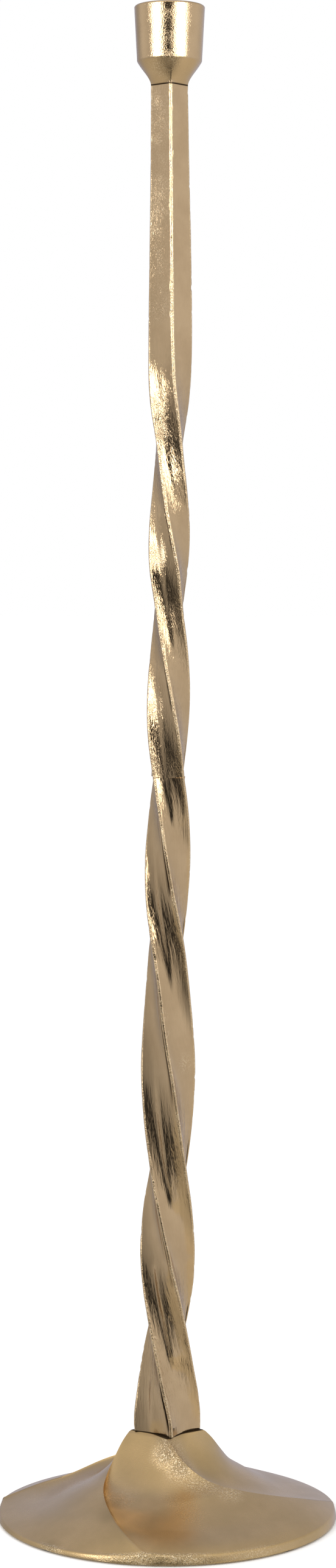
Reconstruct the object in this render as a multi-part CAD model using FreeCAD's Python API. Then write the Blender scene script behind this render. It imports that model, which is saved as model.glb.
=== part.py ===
import FreeCAD, Part
import math
import os

# Spiral candle holder, millimetres, +Z up.
# The origin is on the floor, on the axis of the stem. The front is -Y.
# A cast cup, two cast lengths of twisted square stem and a swirled cast base
# stand on each other and are held together by two studs and one bolt.

# Heights of the four castings and of the whole stem
base_height = 44.0
stem_length = 667.5
lower_stem_length = 328.5
cup_height = 38.5

# Candle cup
cup_rim_radius = 17.3
cup_shoulder_radius = 15.9
cup_cone_height = 12.6
cup_rim_rounding = 1.2
candle_bore_radius = 11.75
candle_bore_depth = 22.5
candle_bore_lead_in = 0.8

# Twisted stem: distance from the axis to a corner at the foot, the full
# depth of the hollow in a face, and the bead that runs up each corner
stem_corner_radius = 16.8
stem_hollow_depth = 2.2
stem_bead_radius = 1.1
stem_bead_spread = 52.0
stem_head_angle = 4.0
stem_turn = 544.0
stem_sections = 52

# Going up the stem: height, turn still to come, corner distance and hollow,
# each as a share of stem_length, stem_turn, stem_corner_radius and
# stem_hollow_depth
stem_station_shares = [
    (0.000, 1.000, 1.000, 1.00),
    (0.012, 0.994, 0.993, 1.00),
    (0.030, 0.974, 0.911, 1.00),
    (0.054, 0.943, 0.810, 0.95),
    (0.081, 0.900, 0.768, 0.90),
    (0.109, 0.857, 0.798, 0.90),
    (0.138, 0.822, 0.818, 0.90),
    (0.168, 0.783, 0.775, 0.85),
    (0.199, 0.737, 0.750, 0.80),
    (0.237, 0.697, 0.795, 0.80),
    (0.273, 0.666, 0.812, 0.75),
    (0.306, 0.637, 0.756, 0.70),
    (0.339, 0.611, 0.695, 0.65),
    (0.371, 0.573, 0.673, 0.60),
    (0.402, 0.527, 0.667, 0.60),
    (0.432, 0.484, 0.673, 0.55),
    (0.462, 0.447, 0.657, 0.50),
    (0.492, 0.410, 0.649, 0.50),
    (0.521, 0.379, 0.665, 0.50),
    (0.553, 0.336, 0.637, 0.45),
    (0.584, 0.290, 0.583, 0.40),
    (0.616, 0.243, 0.562, 0.35),
    (0.646, 0.206, 0.612, 0.35),
    (0.677, 0.159, 0.598, 0.35),
    (0.707, 0.116, 0.548, 0.30),
    (0.737, 0.077, 0.522, 0.25),
    (0.775, 0.026, 0.617, 0.20),
    (0.812, 0.007, 0.643, 0.15),
    (0.876, 0.002, 0.613, 0.10),
    (0.942, 0.000, 0.567, 0.05),
    (1.000, 0.000, 0.542, 0.05),
]

# Base: a square neck that spreads in four curling ridges to a round rim
base_rim_radius = 83.3
base_foot_radius = 85.0
base_rim_height = 6.0
base_neck_corner_radius = 18.4
base_neck_hollow = 2.0
base_neck_angle = 1.0
base_ridge_sweep = 84.0
base_valley_depth = 6.0
base_foot_ring_width = 13.0
base_wall = 5.0
base_seat_height = 23.0
base_seat_radius = 14.0
base_ring_points = 9

# Going out along a ridge: distance on the way from neck to rim, sweep round
# the axis, height of the two front ridges, height of the two rear ridges,
# depth of three valleys, depth of the one in front, and how square the ring
# still is. The heights are shares of the way from rim height to neck height,
# the depths are shares of base_valley_depth.
base_ring_shares = [
    (0.000, 0.000, 1.000, 1.000, 0.00, 0.00, 1.00),
    (0.056, 0.092, 0.895, 0.895, 0.45, 0.10, 0.85),
    (0.148, 0.236, 0.705, 0.705, 0.85, 0.35, 0.50),
    (0.271, 0.390, 0.537, 0.513, 1.00, 0.70, 0.20),
    (0.425, 0.548, 0.434, 0.361, 0.95, 0.85, 0.05),
    (0.610, 0.718, 0.316, 0.184, 0.80, 0.75, 0.00),
    (0.795, 0.860, 0.189, 0.092, 0.62, 0.55, 0.00),
    (0.918, 0.945, 0.084, 0.032, 0.48, 0.30, 0.00),
    (1.000, 1.000, 0.000, 0.000, 0.42, 0.12, 0.00),
]
# Where the valley is deepest between two ridges, and how flat its far side
# runs out below the next ridge
valley_place_share = 0.30
valley_ease = 1.25

# Studs, bolt and washers in plain metric sizes
cup_stud_radius = 3.0
cup_stud_depth_in_cup = 9.0
cup_stud_depth_in_stem = 16.0
stem_stud_radius = 4.0
stem_stud_depth = 18.0
base_bolt_radius = 4.0
base_bolt_depth_in_stem = 18.0
bolt_head_across_flats = 13.0
bolt_head_height = 5.3
washer_outer_radius = 8.0
washer_thickness = 1.6
lock_washer_outer_radius = 6.9
lock_washer_thickness = 2.0
lock_washer_gap = 1.2
thread_end_chamfer = 0.6

# Felt pads let into the underside of the foot ring
pad_count = 4
pad_radius = 5.0
pad_thickness = 2.4
pad_stand_out = 0.8
pad_angle = 45.0

# Clearances, all radial
thread_clearance = 0.05
bolt_clearance = 0.5
washer_clearance = 0.2
pad_clearance = 0.15
tapped_hole_spare_depth = 2.0
cut_overrun = 1.0

# Places that follow from the sizes above
seam_height = base_height + lower_stem_length
cup_joint_height = base_height + stem_length
stand_height = cup_joint_height + cup_height
base_foot_height = pad_stand_out
base_bolt_hole_radius = base_bolt_radius + bolt_clearance

os.makedirs("parts", exist_ok=True)


def point(x, y, z):
    return FreeCAD.Vector(x, y, z)


def polar(radius, angle, z):
    """Point at a distance from the axis and an angle in degrees."""
    turn = math.radians(angle)
    return point(radius * math.cos(turn), radius * math.sin(turn), z)


def smooth_value(rows, column, share):
    """Smooth curve through one column of a station table."""
    places = [row[0] for row in rows]
    values = [row[column] for row in rows]
    last = len(rows) - 1
    steps = [places[i + 1] - places[i] for i in range(last)]
    rises = [(values[i + 1] - values[i]) / steps[i] for i in range(last)]
    slopes = [rises[0]]
    for i in range(1, last):
        weighted = rises[i - 1] * steps[i] + rises[i] * steps[i - 1]
        slopes.append(weighted / (steps[i - 1] + steps[i]))
    slopes.append(rises[-1])
    span = 0
    while span < last - 1 and share > places[span + 1]:
        span += 1
    t = (share - places[span]) / steps[span]
    start = (1 + 2 * t) * (1 - t) ** 2 * values[span]
    start_slope = t * (1 - t) ** 2 * steps[span] * slopes[span]
    end = t * t * (3 - 2 * t) * values[span + 1]
    end_slope = t * t * (t - 1) * steps[span] * slopes[span + 1]
    return start + start_slope + end + end_slope


def cylinder(radius, height, z):
    return Part.makeCylinder(radius, height, point(0, 0, z))


def revolved(outline):
    """Solid turned round the axis from a closed outline of (radius, height)."""
    wire = Part.makePolygon([point(r, 0, z) for r, z in outline + outline[:1]])
    return Part.Face(wire).revolve(point(0, 0, 0), point(0, 0, 1), 360)


def tapped_hole(radius, depth, z, upward):
    """Blind hole for a thread, opening at height z."""
    full_depth = depth + tapped_hole_spare_depth
    hole_radius = radius + thread_clearance
    if upward:
        return cylinder(hole_radius, full_depth + cut_overrun, z - cut_overrun)
    return cylinder(hole_radius, full_depth + cut_overrun, z - full_depth)


def square_section(z, angle, corner, hollow):
    """Ring of four corner beads and four hollow faces at height z."""
    bead_centre = corner - stem_bead_radius
    edges = []
    for quarter in range(4):
        heading = angle - 90 + 90 * quarter
        centre = polar(bead_centre, heading, z)
        next_centre = polar(bead_centre, heading + 90, z)
        bead = [centre + polar(stem_bead_radius, heading + side * stem_bead_spread, 0)
                for side in (-1, 0, 1)]
        next_start = next_centre + polar(
            stem_bead_radius, heading + 90 - stem_bead_spread, 0)
        middle = (bead[2] + next_start) * 0.5
        inward = polar(-hollow, heading + 45, 0)
        edges.append(Part.Arc(*bead).toShape())
        edges.append(Part.Arc(bead[2], middle + inward, next_start).toShape())
    return Part.Wire(edges)


def stem_ring(share):
    """Section of the stem at a share of its length above the base."""
    turn = stem_turn * smooth_value(stem_station_shares, 1, share)
    corner = stem_corner_radius * smooth_value(stem_station_shares, 2, share)
    hollow = stem_hollow_depth * smooth_value(stem_station_shares, 3, share)
    height = base_height + stem_length * share
    return square_section(height, stem_head_angle + turn, corner, hollow)


def stem_piece(start, end):
    """One cast length of the stem between two shares of its length."""
    count = math.ceil(stem_sections * (end - start))
    shares = [start + (end - start) * i / count for i in range(count + 1)]
    return Part.makeLoft([stem_ring(share) for share in shares], True, False)


def make_lower_stem():
    body = stem_piece(0, lower_stem_length / stem_length)
    body = body.cut(tapped_hole(base_bolt_radius, base_bolt_depth_in_stem, base_height, True))
    return body.cut(tapped_hole(stem_stud_radius, stem_stud_depth, seam_height, False))


def make_upper_stem():
    body = stem_piece(lower_stem_length / stem_length, 1)
    body = body.cut(tapped_hole(stem_stud_radius, stem_stud_depth, seam_height, True))
    return body.cut(tapped_hole(cup_stud_radius, cup_stud_depth_in_stem, cup_joint_height, False))


def circle_ring(radius, z):
    """Circle cut into eight arcs that match the beads and faces of a section."""
    edges = []
    bead_share = math.degrees(stem_bead_radius / cup_shoulder_radius)
    for quarter in range(4):
        heading = stem_head_angle - 90 + 90 * quarter
        stops = [heading - bead_share, heading, heading + bead_share,
                 heading + 45, heading + 90 - bead_share]
        ring = [polar(radius, stop, z) for stop in stops]
        edges.append(Part.Arc(ring[0], ring[1], ring[2]).toShape())
        edges.append(Part.Arc(ring[2], ring[3], ring[4]).toShape())
    return Part.Wire(edges)


def make_candle_cup():
    """Tapered round cup on a cone that runs down to the square stem."""
    shoulder_height = cup_joint_height + cup_cone_height
    cone = Part.makeLoft([stem_ring(1), circle_ring(cup_shoulder_radius, shoulder_height)],
                         True, True)
    wall = Part.makeCone(cup_shoulder_radius, cup_rim_radius, stand_height - shoulder_height,
                         point(0, 0, shoulder_height))
    rim = [edge for edge in wall.Edges
           if edge.Curve.TypeId == "Part::GeomCircle"
           and abs(edge.Curve.Center.z - stand_height) < cup_rim_rounding]
    wall = wall.makeFillet(cup_rim_rounding, rim)
    body = cone.fuse(wall)
    bore_floor = stand_height - candle_bore_depth
    body = body.cut(cylinder(candle_bore_radius, candle_bore_depth + cut_overrun, bore_floor))
    lead_in_base = stand_height - candle_bore_lead_in
    lead_in = Part.makeCone(candle_bore_radius, candle_bore_radius + candle_bore_lead_in,
                            candle_bore_lead_in, point(0, 0, lead_in_base))
    body = body.cut(lead_in)
    return body.cut(tapped_hole(cup_stud_radius, cup_stud_depth_in_cup, cup_joint_height, True))


def valley_share(u):
    """Depth of the valley between one ridge, at 0, and the next, at 1."""
    power = math.log(0.5) / math.log(valley_place_share)
    return math.sin(math.pi * u ** power) ** valley_ease


def base_ring(row):
    """Ring of the base: one curve from ridge to ridge on each of four sides."""
    out, sweep, front, rear, side_depth, front_depth, square = row
    ridge = base_neck_corner_radius + out * (base_rim_radius - base_neck_corner_radius)
    climb = base_height - base_rim_height
    ridge_heights = [base_rim_height + climb * share for share in (front, rear, rear, front)]
    edges = []
    for quarter in range(4):
        start_height = ridge_heights[quarter]
        end_height = ridge_heights[(quarter + 1) % 4]
        depth = front_depth if quarter == 3 else side_depth
        heading = base_neck_angle - 90 + 90 * quarter + base_ridge_sweep * sweep
        points = []
        for step in range(base_ring_points):
            u = step / (base_ring_points - 1)
            flat = math.cos(math.radians(45)) / math.cos(math.radians(90 * u - 45))
            hollow = base_neck_hollow * math.sin(math.pi * u)
            radius = ridge * (1 - square + square * flat) - square * hollow
            height = start_height + (end_height - start_height) * u
            if 0 < step < base_ring_points - 1:
                height -= base_valley_depth * depth * valley_share(u)
            points.append(polar(radius, heading + 90 * u, height))
        curve = Part.BSplineCurve()
        curve.interpolate(points)
        edges.append(curve.toShape())
    return Part.Wire(edges)


def circle_wire(radius, z):
    """Circle in four arcs that start where the ridges end."""
    edges = []
    for quarter in range(4):
        heading = base_neck_angle - 90 + 90 * quarter + base_ridge_sweep
        stops = [polar(radius, heading + 45 * step, z) for step in range(3)]
        edges.append(Part.Arc(*stops).toShape())
    return Part.Wire(edges)


def base_cavity():
    """Hollow under the base, a wall's thickness below the valleys."""
    outline = [(0, base_foot_height - cut_overrun)]
    inner_edge = base_foot_radius - base_foot_ring_width
    outline.append((inner_edge, base_foot_height - cut_overrun))
    climb = base_height - base_rim_height
    for out, sweep, front, rear, depth, front_depth, square in reversed(base_ring_shares):
        radius = base_neck_corner_radius + out * (base_rim_radius - base_neck_corner_radius)
        height = base_rim_height + climb * min(front, rear)
        height -= base_valley_depth * depth + base_wall
        inside = radius - base_wall
        if inside < inner_edge and base_foot_height < height < base_seat_height:
            outline.append((inside, height))
    outline.append((base_seat_radius, base_seat_height))
    outline.append((0, base_seat_height))
    return revolved(outline)


def pad_places():
    ring_middle = base_foot_radius - base_foot_ring_width / 2
    step = 360 / pad_count
    return [polar(ring_middle, pad_angle + step * i, 0) for i in range(pad_count)]


def make_base():
    rings = [base_ring(row) for row in base_ring_shares]
    foot = circle_wire(base_foot_radius, base_foot_height)
    skirt = Part.makeLoft(rings, False, False)
    band = Part.makeLoft([rings[-1], foot], False, True)
    faces = skirt.Faces + band.Faces + [Part.Face(rings[0]), Part.Face(foot)]
    shell = Part.Shell(faces)
    shell.sewShape()
    body = Part.Solid(shell).cut(base_cavity())
    body = body.cut(cylinder(base_bolt_hole_radius, base_height, base_seat_height - cut_overrun))
    recess_depth = pad_thickness - pad_stand_out
    for place in pad_places():
        recess = cylinder(pad_radius + pad_clearance, recess_depth + cut_overrun,
                          base_foot_height - cut_overrun)
        recess.translate(place)
        body = body.cut(recess)
    return body


def stud(radius, bottom, top):
    """Plain stud with both thread ends chamfered."""
    neck = radius - thread_end_chamfer
    return revolved([(0, bottom), (neck, bottom), (radius, bottom + thread_end_chamfer),
                     (radius, top - thread_end_chamfer), (neck, top), (0, top)])


def make_cup_stud():
    return stud(cup_stud_radius, cup_joint_height - cup_stud_depth_in_stem,
                cup_joint_height + cup_stud_depth_in_cup)


def make_stem_stud():
    return stud(stem_stud_radius, seam_height - stem_stud_depth, seam_height + stem_stud_depth)


def make_base_washer():
    washer = cylinder(washer_outer_radius, washer_thickness, base_seat_height - washer_thickness)
    hole = cylinder(base_bolt_radius + washer_clearance, base_height, 0)
    return washer.cut(hole)


def make_base_lock_washer():
    """Spring ring, pressed flat, with its slit on the +X side."""
    top = base_seat_height - washer_thickness
    ring = cylinder(lock_washer_outer_radius, lock_washer_thickness, top - lock_washer_thickness)
    ring = ring.cut(cylinder(base_bolt_radius + washer_clearance, base_height, 0))
    slit = Part.makeBox(lock_washer_outer_radius, lock_washer_gap, base_height,
                        point(0, -lock_washer_gap / 2, 0))
    return ring.cut(slit)


def make_base_bolt():
    head_top = base_seat_height - washer_thickness - lock_washer_thickness
    head_bottom = head_top - bolt_head_height
    corner = bolt_head_across_flats / 2 / math.cos(math.radians(30))
    hexagon = [polar(corner, 60 * i, head_bottom) for i in range(7)]
    head = Part.Face(Part.makePolygon(hexagon)).extrude(point(0, 0, bolt_head_height))
    crown = Part.makeCone(bolt_head_across_flats / 2, bolt_head_across_flats / 2 + bolt_head_height,
                          bolt_head_height, point(0, 0, head_bottom))
    head = head.common(crown)
    shank = stud(base_bolt_radius, head_bottom + thread_end_chamfer,
                 base_height + base_bolt_depth_in_stem)
    return head.fuse(shank)


def make_foot_pads():
    pads = []
    for place in pad_places():
        pad = cylinder(pad_radius, pad_thickness, 0)
        pad.translate(place)
        pads.append(pad)
    return Part.makeCompound(pads)


pieces = {
    "base": make_base,
    "lower_stem": make_lower_stem,
    "upper_stem": make_upper_stem,
    "candle_cup": make_candle_cup,
    "cup_stud": make_cup_stud,
    "stem_stud": make_stem_stud,
    "base_bolt": make_base_bolt,
    "base_washer": make_base_washer,
    "base_lock_washer": make_base_lock_washer,
    "foot_pads": make_foot_pads,
}

for name, make_piece in pieces.items():
    shape = make_piece()
    shape.exportStep("parts/" + name + ".step")
    print(name, "solids", len(shape.Solids), "valid", shape.isValid(),
          "volume", round(shape.Volume))
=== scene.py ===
import bpy
import bmesh
import math
import numpy as np
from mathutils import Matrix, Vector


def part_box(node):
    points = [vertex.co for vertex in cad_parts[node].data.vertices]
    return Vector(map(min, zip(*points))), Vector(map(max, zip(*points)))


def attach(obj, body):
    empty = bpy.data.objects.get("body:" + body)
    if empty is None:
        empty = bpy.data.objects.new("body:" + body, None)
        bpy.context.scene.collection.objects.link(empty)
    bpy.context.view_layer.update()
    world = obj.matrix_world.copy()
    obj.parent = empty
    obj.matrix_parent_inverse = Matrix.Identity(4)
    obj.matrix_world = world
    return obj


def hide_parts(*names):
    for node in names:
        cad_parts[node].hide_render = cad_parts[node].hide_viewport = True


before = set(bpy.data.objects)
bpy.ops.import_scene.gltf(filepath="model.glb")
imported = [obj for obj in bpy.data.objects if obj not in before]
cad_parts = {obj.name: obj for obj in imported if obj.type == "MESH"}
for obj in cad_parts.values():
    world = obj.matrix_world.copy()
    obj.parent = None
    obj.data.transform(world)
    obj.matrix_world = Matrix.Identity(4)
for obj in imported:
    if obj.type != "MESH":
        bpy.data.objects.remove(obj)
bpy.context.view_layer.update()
mm = 0.001

# The base is one aluminium casting, finished in antique gold. A square neck
# spreads in four curling ridges to a round rim, and it is hollow beneath.
# A bolt from below holds it to the stem.
base_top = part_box("base")[1][2]
base_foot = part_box("base")[0][2]
neck_hollow = 2.0 * mm
neck_rounding = 0.7 * mm
rim_radius = 83.3 * mm
foot_radius = 85.0 * mm
foot_ring = 13.0 * mm
base_wall = 5.0 * mm
seat_height = 23.0 * mm
seat_radius = 14.0 * mm
bolt_hole = 4.5 * mm
valley_depth = 6.0 * mm
valley_place = 0.30
valley_ease = 1.25
# distance out, angle of the front ridge, height of the front ridges, height
# of the rear ridges, depth of the valleys, depth of the front one, squareness
base_rows = [
    (18.4, -89.0, 44.0, 44.0, 0.00, 0.00, 1.00),
    (22.0, -81.3, 40.0, 40.0, 0.45, 0.10, 0.85),
    (28.0, -69.2, 32.8, 32.8, 0.85, 0.35, 0.50),
    (36.0, -56.2, 26.4, 25.5, 1.00, 0.70, 0.20),
    (46.0, -43.0, 22.5, 19.7, 0.95, 0.85, 0.05),
    (58.0, -29.5, 18.0, 13.0, 0.80, 0.75, 0.00),
    (70.0, -19.0, 13.2, 9.5, 0.62, 0.55, 0.00),
    (78.0, -12.5, 9.2, 7.2, 0.48, 0.30, 0.00),
    (83.3, -8.0, 6.2, 6.0, 0.42, 0.12, 0.00),
]
# the front ridge swings further round than the others, from this many millimetres out
late_sweep = math.radians(11)
late_begins = 44
# the rim dips between the ends of its ridges, from this many millimetres out, by
# these depths from the front right round to the front left
dips_begin = 64
rim_dips = [2.0 * mm, 3.0 * mm, 3.1 * mm, 1.0 * mm]


def smooth(rows, column, places):
    """Smooth curve through one column of a table, read at many places."""
    rows = np.array(rows)
    x, y = rows[:, 0], rows[:, column]
    slopes = np.gradient(y, x)
    i = np.clip(np.searchsorted(x, places, side="right") - 1, 0, len(x) - 2)
    step = x[i + 1] - x[i]
    t = (places - x[i]) / step
    start = (1 + 2 * t) * (1 - t) ** 2 * y[i] + t * (1 - t) ** 2 * step * slopes[i]
    return start + t * t * (3 - 2 * t) * y[i + 1] + t * t * (t - 1) * step * slopes[i + 1]


def point_outwards(mesh):
    """Turns the faces outwards and shades them smooth, apart from sharp edges."""
    sharp = math.radians(50)
    work = bmesh.new()
    work.from_mesh(mesh)
    if work.calc_volume(signed=True) < 0:
        bmesh.ops.reverse_faces(work, faces=work.faces)
    for face in work.faces:
        face.smooth = True
    for edge in work.edges:
        edge.smooth = edge.calc_face_angle(0) < sharp
    work.to_mesh(mesh)
    work.free()


def finish_piece(piece, material, slot, *nodes):
    """Gives a piece its material and its body, and hides the nodes it stands for. The slot is not
    used.
    """
    piece.data.materials.clear()
    piece.data.materials.append(material)
    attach(piece, "root")
    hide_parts(*nodes)


def skin(name, rings, loop, material, slot, *nodes):
    """Piece with a skin over rings of points. It closes in a loop or with end caps."""
    count, around = rings.shape[:2]
    mesh = bpy.data.meshes.new(name)
    quads = []
    for i in range(count if loop else count - 1):
        a, b = i * around, (i + 1) % count * around
        quads += [(a + j, a + (j + 1) % around, b + (j + 1) % around, b + j)
                  for j in range(around)]
    if not loop:
        last = (count - 1) * around
        quads += [tuple(range(around))[::-1], tuple(range(last, last + around))]
    mesh.from_pydata(rings.reshape(-1, 3).tolist(), [], quads)
    piece = bpy.data.objects.new(name, mesh)
    bpy.context.collection.objects.link(piece)
    point_outwards(mesh)
    finish_piece(piece, material, slot, *nodes)


def add(tree, kind, feeds=None, **settings):
    """New node with its settings. Feeds are sockets or plain values, by input."""
    made = tree.nodes.new(kind)
    for name, value in settings.items():
        setattr(made, name, value)
    for place, feed in (feeds or {}).items():
        if isinstance(feed, bpy.types.NodeSocket):
            tree.links.new(feed, made.inputs[place])
        else:
            made.inputs[place].default_value = feed
    return made


def calc(tree, operation, *feeds):
    """One step of arithmetic in a node tree."""
    return add(tree, "ShaderNodeMath", dict(enumerate(feeds)), operation=operation).outputs[0]


def stretch(tree, value, low, high, to_low=0.0, to_high=1.0, kind="SMOOTHSTEP"):
    """Value brought from one range to another, held at both ends."""
    feeds = {0: value, 1: low, 2: high, 3: to_low, 4: to_high}
    return add(tree, "ShaderNodeMapRange", feeds, interpolation_type=kind).outputs[0]


def noise(tree, vector, scale, detail=2.0, roughness=0.5):
    """Noise between 0 and 1 over a vector."""
    feeds = {"Vector": vector, "Scale": scale, "Detail": detail, "Roughness": roughness}
    return add(tree, "ShaderNodeTexNoise", feeds).outputs[0]


def blend_colour(tree, share, low, high, kind="MIX"):
    """Colour between two colours, or one laid over the other."""
    made = add(tree, "ShaderNodeMix", {0: share, 6: low, 7: high}, data_type="RGBA",
               blend_type=kind)
    return made.outputs[2]


def name_sockets(tree, side, kind, *names):
    """Named inputs or outputs of one kind on a tree."""
    for name in names:
        tree.interface.new_socket(name, in_out=side, socket_type="NodeSocket" + kind)


def cast_skin():
    """Shader group of the cast gold: tone, gloss and relief in millimetres."""
    group = bpy.data.node_groups.new("cast_skin", "ShaderNodeTree")
    name_sockets(group, "INPUT", "Vector", "Vector")
    name_sockets(group, "INPUT", "Color", "Light Tone", "Deep Tone")
    name_sockets(group, "INPUT", "Float", "Satin", "Streak Depth", "Streak Stretch",
                 "Relief Mask", "Grain Depth", "Coarse Depth", "Coarse", "Wear and Painted Shade", "Joints and Painted Shade")
    name_sockets(group, "OUTPUT", "Color", "Color")
    name_sockets(group, "OUTPUT", "Float", "Roughness", "Height")
    given = group.nodes.new("NodeGroupInput").outputs
    vector = given["Vector"]
    # streaks and grain are drawn out along Z, pebbles and flecks aren't
    along = add(group, "ShaderNodeCombineXYZ", {0: 1.0, 1: 1.0, 2: given["Streak Stretch"]})
    drawn = add(group, "ShaderNodeVectorMath", {0: vector, 1: along.outputs[0]},
                operation="MULTIPLY").outputs[0]
    streak = stretch(group, noise(group, drawn, 650, 3.0, 0.6), 0.32, 0.68, -0.5, 0.5)
    held = stretch(group, noise(group, vector, 70, 1.0), 0.35, 0.6, 0.6, 1.0)
    patch = stretch(group, noise(group, vector, 55, 3.0, 0.6), 0.3, 0.7)
    grain = noise(group, drawn, 1800, 2.0, 0.6)
    pebble = stretch(group, noise(group, vector, 1300, 3.0, 0.7), 0.3, 0.7, -0.5, 0.5)
    fleck = stretch(group, noise(group, vector, 2300, 1.0), 0.70, 0.78)
    # colour: cloudy tone, paler where worn and darker under painted shade, pale painted glints
    # where the skin is coarse, and near black at joints, in pits and in painted shade
    coarse = calc(group, "MULTIPLY", given["Coarse"], stretch(group, patch, 0.1, 0.7, 0.5, 1.0))
    tone = calc(group, "MULTIPLY_ADD", patch, 0.34, 0.33)
    tone = calc(group, "ADD", tone, calc(group, "MULTIPLY_ADD", grain, 0.3, -0.15))
    tone = calc(group, "ADD", tone, given["Wear and Painted Shade"])
    tone = calc(group, "ADD", tone, calc(group, "MULTIPLY", coarse, calc(
        group, "MULTIPLY_ADD", pebble, 0.9, -0.1)))
    tone = stretch(group, tone, 0.0, 1.0, kind="LINEAR")
    colour = blend_colour(group, tone, given["Deep Tone"], given["Light Tone"])
    # painted glints: pale gold flecks where the skin is coarse, brightest on the coarse patches
    painted_glints = calc(group, "MULTIPLY", coarse, stretch(group, pebble, 0.0, 0.35, 0.1, 1.0))
    colour = blend_colour(group, painted_glints, colour, (1.0, 0.84, 0.6, 1))
    pitted = calc(group, "MULTIPLY", fleck, calc(group, "MULTIPLY_ADD", coarse, 0.7, 0.12))
    # near black at the joints and in pits, and as painted shade in the stem's grooves and on
    # darker patches of the base and cup
    dark = calc(group, "MAXIMUM", given["Joints and Painted Shade"], pitted)
    colour = blend_colour(group, dark, colour, (0.045, 0.028, 0.014, 1))
    # gloss: higher on pale and on rubbed metal, none in the dark
    rough = calc(group, "MULTIPLY_ADD", tone, -0.06, given["Satin"])
    rough = calc(group, "MAXIMUM", calc(group, "MULTIPLY_ADD", coarse, -0.16, rough), 0.11)
    rough = calc(group, "MULTIPLY_ADD", dark, 0.3, rough)
    # relief: streaks and grain under their mask, pebbles where the skin is coarse
    streaky = calc(group, "MULTIPLY", streak, given["Streak Depth"])
    grainy = calc(group, "MULTIPLY", calc(group, "SUBTRACT", grain, 0.5), held)
    grainy = calc(group, "MULTIPLY", grainy, given["Grain Depth"])
    height = calc(group, "MULTIPLY", calc(group, "ADD", grainy, streaky), given["Relief Mask"])
    height = calc(group, "ADD", height, calc(group, "MULTIPLY", calc(
        group, "MULTIPLY", pebble, coarse), given["Coarse Depth"]))
    add(group, "NodeGroupOutput", {"Color": colour, "Roughness": rough, "Height": height})
    return group


cast_skin_group = cast_skin()


def new_material(name):
    """Empty material with its output, and the tree to fill."""
    material = bpy.data.materials.new(name)
    material.use_nodes = True
    material.node_tree.nodes.clear()
    return material, material.node_tree


def relief(tree, height, depth, strength=1.0):
    """Normal that shows a height as relief of a depth."""
    return add(tree, "ShaderNodeBump", {
        "Height": height, "Distance": depth, "Strength": strength}).outputs[0]


def surface(tree, feeds):
    """Shader at the end of a material."""
    shader = add(tree, "ShaderNodeBsdfPrincipled", feeds)
    add(tree, "ShaderNodeOutputMaterial", {0: shader.outputs[0]})


def cast_gold(name, values, masks):
    """Antique gold metal. Masks feeds what changes over the surface, values the rest."""
    material, tree = new_material(name)
    effect = add(tree, "ShaderNodeGroup", {**values, **masks(tree)},
                 node_tree=cast_skin_group).outputs
    surface(tree, {"Metallic": 1.0, "Base Color": effect["Color"],
                   "Roughness": effect["Roughness"],
                   "Normal": relief(tree, effect["Height"], 1 * mm)})
    return material


def near(tree, vector, places):
    """Mask that has its strength at each place and falls to 0 at its reach."""
    mask = 0.0
    for x, y, z, reach, strength in places:
        apart = add(tree, "ShaderNodeVectorMath", {0: vector, 1: (x * mm, y * mm, z * mm)},
                    operation="DISTANCE").outputs["Value"]
        mask = calc(tree, "MAXIMUM", mask, stretch(tree, apart, reach * mm, 0.0, 0.0, strength))
    return mask


# x, y, z and reach in millimetres, and strength, of the patches where the skin
# stayed rough from the mould, on the ridges and on the rim, with pale painted glints,
# and of the patches of painted shade
rough_patches = [(0.5, -20, 38, 13, 1.0), (7.5, -25.7, 32, 13, 1.0),
                 (17.6, -31.5, 26.5, 13, 1.0), (31, -35, 22, 10, 0.6),
                 (-24, -37, 19.5, 13, 0.3)]
rough_rim = [(-16, -84, 4, 24, 1.0), (8, -85, 4, 22, 0.8), (-57.1, -62.5, 4, 12, 0.8),
             (40, -74, 4, 30, 0.3)]
painted_shade_patches = [(-13, -66, 11.5, 30, 0.65), (-25, -53, 15, 14, 1.0), (-26, -43, 18, 11, 1.0),
                (4, -79, 8, 22, 0.9), (-57.1, -62.5, 4, 8, 1.0), (-4, -84, 4, 9, 1.0),
                (25, -20, 30, 15, 0.6)]


def base_masks(tree):
    """Dark line at the joint, patches of painted shade, rough patches with painted glints, and the
    rim's own inside a narrow band.
    """
    vector = add(tree, "ShaderNodeTexCoord").outputs["Object"]
    height = add(tree, "ShaderNodeSeparateXYZ", {0: vector}).outputs[2]
    joint = stretch(tree, height, base_top - 0.5 * mm, base_top - 0.1 * mm)
    level = add(tree, "ShaderNodeVectorMath", {0: vector, 1: (1, 1, 0)}, operation="MULTIPLY")
    out = add(tree, "ShaderNodeVectorMath", {0: level.outputs[0]}, operation="LENGTH")
    band = stretch(tree, out.outputs["Value"], rim_radius - 1.5 * mm, rim_radius)
    rim = calc(tree, "MULTIPLY", band, near(tree, vector, rough_rim))
    coarse = calc(tree, "MAXIMUM", near(tree, vector, rough_patches), rim)
    # painted shade: darker patches, where the tone drops and the colour goes towards near black
    painted_shade = near(tree, vector, painted_shade_patches)
    return {"Vector": vector, "Coarse": coarse, "Wear and Painted Shade": calc(tree, "MULTIPLY", painted_shade, -0.25),
            "Joints and Painted Shade": calc(tree, "MAXIMUM", joint, calc(tree, "MULTIPLY", painted_shade, 0.16))}


base_gold = cast_gold("base_gold", {
    "Light Tone": (0.67, 0.475, 0.255, 1), "Deep Tone": (0.475, 0.345, 0.178, 1),
    "Satin": 0.31, "Relief Mask": 1.0, "Streak Depth": 0.0, "Streak Stretch": 1.0,
    "Grain Depth": 0.07, "Coarse Depth": 0.24}, base_masks)


def growing(out, begins, power):
    """Share that grows from 0 where it begins to 1 at the rim."""
    return np.clip((out - begins) / (rim_radius / mm - begins), 0, 1) ** power


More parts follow.
